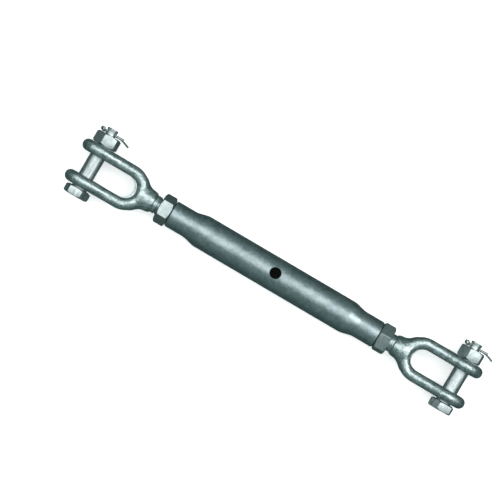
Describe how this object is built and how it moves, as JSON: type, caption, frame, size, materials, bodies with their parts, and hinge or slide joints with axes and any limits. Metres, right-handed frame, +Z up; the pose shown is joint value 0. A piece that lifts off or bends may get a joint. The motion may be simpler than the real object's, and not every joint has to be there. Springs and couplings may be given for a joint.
{
  "type": "rigging turnbuckle",
  "caption": "Galvanized jaw-and-jaw rigging screw: pipe barrel with opposite-handed threaded forks, lock nuts and cottered clevis bolts.",
  "frame": {"origin": "middle of the barrel, on its axis, which is within 1 mm of the centre of mass", "axes": "+X along the barrel to the jaw with the left-hand thread, +Y along the clevis bolts towards their nuts, +Z up when the turnbuckle lies flat on its jaws"},
  "size_m": [0.4642, 0.0774, 0.0396],
  "materials": {
    "pipe": "hot-dip galvanized, dull satin",
    "forging": "hot-dip galvanized forging",
    "fastener": "zinc plated"
  },
  "bodies": {
    "left_jaw": {"left_jaw": "forging"},
    "left_lock_nut": {"left_lock_nut": "fastener"},
    "barrel": {"barrel": "pipe"},
    "right_lock_nut": {"right_lock_nut": "fastener"},
    "right_jaw": {"right_jaw": "forging"},
    "left_clevis_bolt": {"left_clevis_bolt": "fastener", "left_clevis_nut": "fastener", "left_cotter_pin": "fastener"},
    "right_clevis_bolt": {"right_clevis_bolt": "fastener", "right_clevis_nut": "fastener", "right_cotter_pin": "fastener"}
  },
  "joints": [
    {"name": "left_take_up", "type": "slide", "parent": "left_jaw", "child": "left_lock_nut", "axis": [1, 0, 0], "range_m": [-0.00381, 0.0762]},
    {"name": "barrel_turn", "type": "hinge", "parent": "left_lock_nut", "child": "barrel", "pos_m": [0, 0, 0], "axis": [1, 0, 0], "range_deg": [-541, 10801]},
    {"name": "right_lock_nut_turn", "type": "hinge", "parent": "barrel", "child": "right_lock_nut", "pos_m": [0, 0, 0], "axis": [1, 0, 0], "range_deg": [-10801, 541]},
    {"name": "right_take_up", "type": "slide", "parent": "right_lock_nut", "child": "right_jaw", "axis": [1, 0, 0], "range_m": [-0.00381, 0.0762]},
    {"name": "left_bolt_turn", "type": "hinge", "parent": "left_jaw", "child": "left_clevis_bolt", "pos_m": [-0.2121, 0, 0], "axis": [0, 1, 0], "continuous": true},
    {"name": "right_bolt_turn", "type": "hinge", "parent": "right_jaw", "child": "right_clevis_bolt", "pos_m": [0.2099, 0, 0], "axis": [0, 1, 0], "continuous": true}
  ],
  "couplings": [
    {"joint": "barrel_turn", "follows": "left_take_up", "rad_per_m": 2473.7},
    {"joint": "right_lock_nut_turn", "follows": "left_take_up", "rad_per_m": -2473.7},
    {"joint": "right_take_up", "follows": "left_take_up", "ratio": 1}
  ]
}
